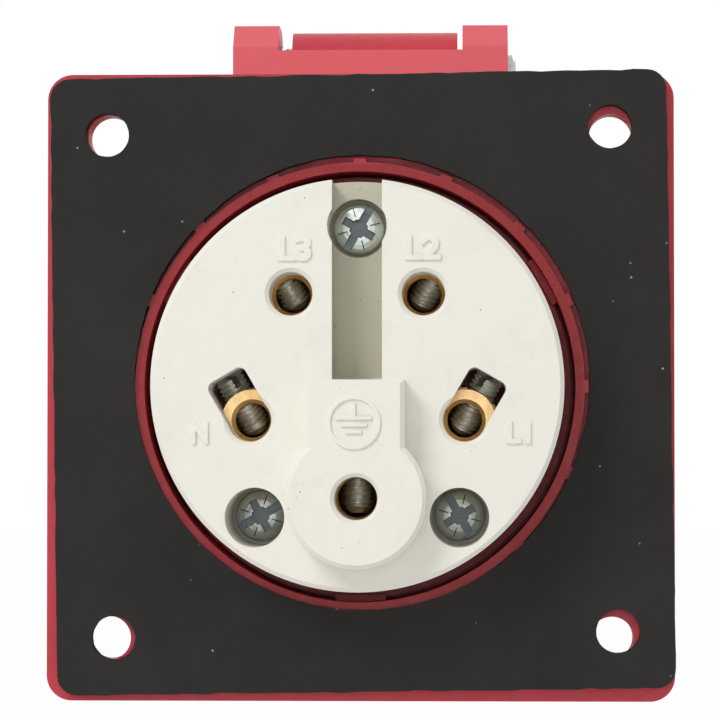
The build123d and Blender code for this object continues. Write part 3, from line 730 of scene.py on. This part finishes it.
# Cover screws: zinc-plated pan heads with a combined slot and cross recess, and
# four tick lines between the arms. Each has its own turn, as the fitter left it.
def cut_away(mesh, cutters, name):
    """A closed mesh with the closed cutter meshes taken out of it, one after another."""
    for cutter in cutters:
        body = bpy.data.objects.new(name, mesh)
        tool = bpy.data.objects.new(name + "_tool", cutter)
        bpy.context.scene.collection.objects.link(body)
        bpy.context.scene.collection.objects.link(tool)
        step = body.modifiers.new("cut", "BOOLEAN")
        step.operation = "DIFFERENCE"
        step.solver = "EXACT"
        step.object = tool
        mesh = plain_mesh(body)
        bpy.data.objects.remove(body)
        bpy.data.objects.remove(tool)
    return mesh


def box_mesh(name, size, place):
    """A closed box: size and place are in metres, and place is a matrix."""
    block = bmesh.new()
    bmesh.ops.create_cube(block, size=1.0)
    bmesh.ops.transform(block, matrix=place @ Matrix.Diagonal((*size, 1)), verts=block.verts)
    mesh = bpy.data.meshes.new(name)
    block.to_mesh(mesh)
    block.free()
    return mesh


def lathe_mesh(name, rings, sides):
    """A closed turned mesh along +Z from (radius, height) rings."""
    verts = []
    faces = []
    for radius, level in rings:
        for side in range(sides):
            turn = 2 * math.pi * side / sides
            verts.append((radius * math.cos(turn), radius * math.sin(turn), level))
    for row in range(len(rings) - 1):
        for side in range(sides):
            a = row * sides + side
            b = row * sides + (side + 1) % sides
            faces.append((a, b, b + sides, a + sides))
    faces.append(tuple(reversed(range(sides))))
    faces.append(tuple(range(len(verts) - sides, len(verts))))
    mesh = bpy.data.meshes.new(name)
    mesh.from_pydata(verts, [], faces)
    return mesh


HEAD_RADIUS = 3.05 * MM
HEAD_HEIGHT = 2.2 * MM
HEAD_SIDES = 64
CROSS_SPAN = 4.1 * MM
CROSS_WIDTH = 1.0 * MM
CROSS_DEPTH = 1.25 * MM
CENTRE_RADIUS = 1.15 * MM
CENTRE_DEPTH = 1.5 * MM
CENTRE_SIDES = 8
HEAD_SLOT_WIDTH = 1.05 * MM
HEAD_SLOT_DEPTH = 0.85 * MM
TICK_WIDTH = 0.14 * MM
TICK_REACH = (1.35 * MM, 2.75 * MM)
TICK_SINK = 0.05 * MM
TICK_HEIGHT = 0.5 * MM
TICK_SLOPE = math.radians(22)
RECESS_MARGIN = 0.06 * MM
HEAD_TURNS = {"top": 60, "left": 120, "right": 28}
HEAD_PROFILE = (
    (0.4, 2.2),
    (1.2, 2.17),
    (1.9, 2.05),
    (2.45, 1.82),
    (2.82, 1.48),
    (3.0, 1.05),
    (3.05, 0.6),
    (3.05, 0.12),
    (2.95, 0.0),
    (1.75, 0.0),
    (1.75, -15.0),
    (0.6, -16.0),
)
ZINC = (0.80, 0.86, 0.82)
ZINC_YELLOW = (0.86, 0.86, 0.60)
ZINC_BLUE = (0.52, 0.58, 0.68)
RECESS_PAINTED_SHADE = (0.11, 0.125, 0.13)
ZINC_GRAIN_DEPTH = 0.05 * MM
zinc, made, links, principled, place = start_material("zinc_plate", ZINC, roughness=0.32, metallic=0.7)
yellow = remap(made, links, noise(made, links, place, 260, 2.0), 0.5, 0.7, 0.0, 0.7)
warm = tint(made, links, yellow, ZINC, ZINC_YELLOW)
blue = remap(made, links, noise(made, links, place, 430, 2.0), 0.52, 0.72, 0.0, 0.8)
plated = tint(made, links, blue, warm, ZINC_BLUE)
# Painted shade: faces marked as recess take a dark colour in place of the plating.
cut = made.new("ShaderNodeAttribute")
cut.attribute_name = "recess"
links.new(tint(made, links, cut.outputs["Fac"], plated, RECESS_PAINTED_SHADE), principled.inputs["Base Color"])
grain(made, links, principled, noise(made, links, place, 3600, 3.0), ZINC_GRAIN_DEPTH)
head_rings = [(radius * MM, level * MM) for radius, level in HEAD_PROFILE]
head_mesh = lathe_mesh("cover_screw", list(reversed(head_rings)), HEAD_SIDES)
deep = Matrix.Translation((0, 0, HEAD_HEIGHT))
cuts = [
    box_mesh("slot_cut", (4 * HEAD_RADIUS, HEAD_SLOT_WIDTH, 2 * HEAD_SLOT_DEPTH), deep),
    box_mesh("arm_cut", (CROSS_SPAN, CROSS_WIDTH, 2 * CROSS_DEPTH), deep),
    box_mesh("arm_cut", (CROSS_WIDTH, CROSS_SPAN, 2 * CROSS_DEPTH), deep),
    lathe_mesh(
        "centre_cut",
        ((CENTRE_RADIUS, HEAD_HEIGHT - CENTRE_DEPTH), (CENTRE_RADIUS, 2 * HEAD_HEIGHT)),
        CENTRE_SIDES,
    ),
]
tick_length = TICK_REACH[1] - TICK_REACH[0]
for index in range(4):
    tick_place = (
        Matrix.Rotation(math.radians(45 + 90 * index), 4, "Z")
        @ Matrix.Translation(((TICK_REACH[0] + TICK_REACH[1]) / 2, 0, HEAD_HEIGHT - TICK_SINK))
        @ Matrix.Rotation(TICK_SLOPE, 4, "Y")
    )
    cuts.append(box_mesh("tick_cut", (tick_length, TICK_WIDTH, TICK_HEIGHT), tick_place))
head_mesh = cut_away(head_mesh, cuts, "cover_screw")
# The faces below the head's own outline are the recess, which is painted dark as shade.
recess = head_mesh.attributes.new("recess", "FLOAT", "FACE")
for face in head_mesh.polygons:
    radius = math.hypot(face.center.x, face.center.y)
    top_level = HEAD_HEIGHT
    for (near, near_level), (far, far_level) in zip(head_rings, head_rings[1:]):
        if near <= radius < far:
            top_level = near_level + (far_level - near_level) * (radius - near) / (far - near)
            break
    is_cut = radius < HEAD_RADIUS and 0 < face.center.z < top_level - RECESS_MARGIN
    recess.data[face.index].value = 1.0 if is_cut else 0.0

heads_tree, given = start_tree(
    "cover_screws",
    (
        ("Geometry", "NodeSocketGeometry"),
        ("Head", "NodeSocketObject"),
        ("Material", "NodeSocketMaterial"),
    ),
)
head_info = heads_tree.nodes.new("GeometryNodeObjectInfo")
heads_tree.links.new(given["Head"], head_info.inputs["Object"])
fitted = heads_tree.nodes.new("GeometryNodeInputNamedAttribute")
fitted.data_type = "FLOAT_VECTOR"
fitted.inputs["Name"].default_value = "fitted_turn"
driven = heads_tree.nodes.new("GeometryNodeInstanceOnPoints")
heads_tree.links.new(given["Geometry"], driven.inputs["Points"])
heads_tree.links.new(head_info.outputs["Geometry"], driven.inputs["Instance"])
heads_tree.links.new(fitted.outputs["Attribute"], driven.inputs["Rotation"])
finish_tree(heads_tree, driven.outputs["Instances"], given["Material"])
seats = []
turns = []
for side, turn in HEAD_TURNS.items():
    low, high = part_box("cover_screw_" + side)
    seats.append(((low[0] + high[0]) / 2, high[1] - HEAD_HEIGHT, (low[2] + high[2]) / 2))
    turns.append((REAR.to_3x3() @ Matrix.Rotation(math.radians(turn), 3, "Z")).to_euler())
seat_points = bpy.data.meshes.new("cover_screw_seats")
seat_points.from_pydata(seats, [], [])
fitted_turn = seat_points.attributes.new("fitted_turn", "FLOAT_VECTOR", "POINT")
for index, turn in enumerate(turns):
    fitted_turn.data[index].vector = tuple(turn)
head = bpy.data.objects.new("cover_screw_pattern", head_mesh)
bpy.context.scene.collection.objects.link(head)
heads_mesh = grow(heads_tree, seat_points, {"Head": head, "Material": zinc})
bpy.data.objects.remove(head)
heads = add_piece("cover_screw_heads", heads_mesh, zinc)
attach(heads, "socket")
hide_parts("cover_screw_top", "cover_screw_left", "cover_screw_right")
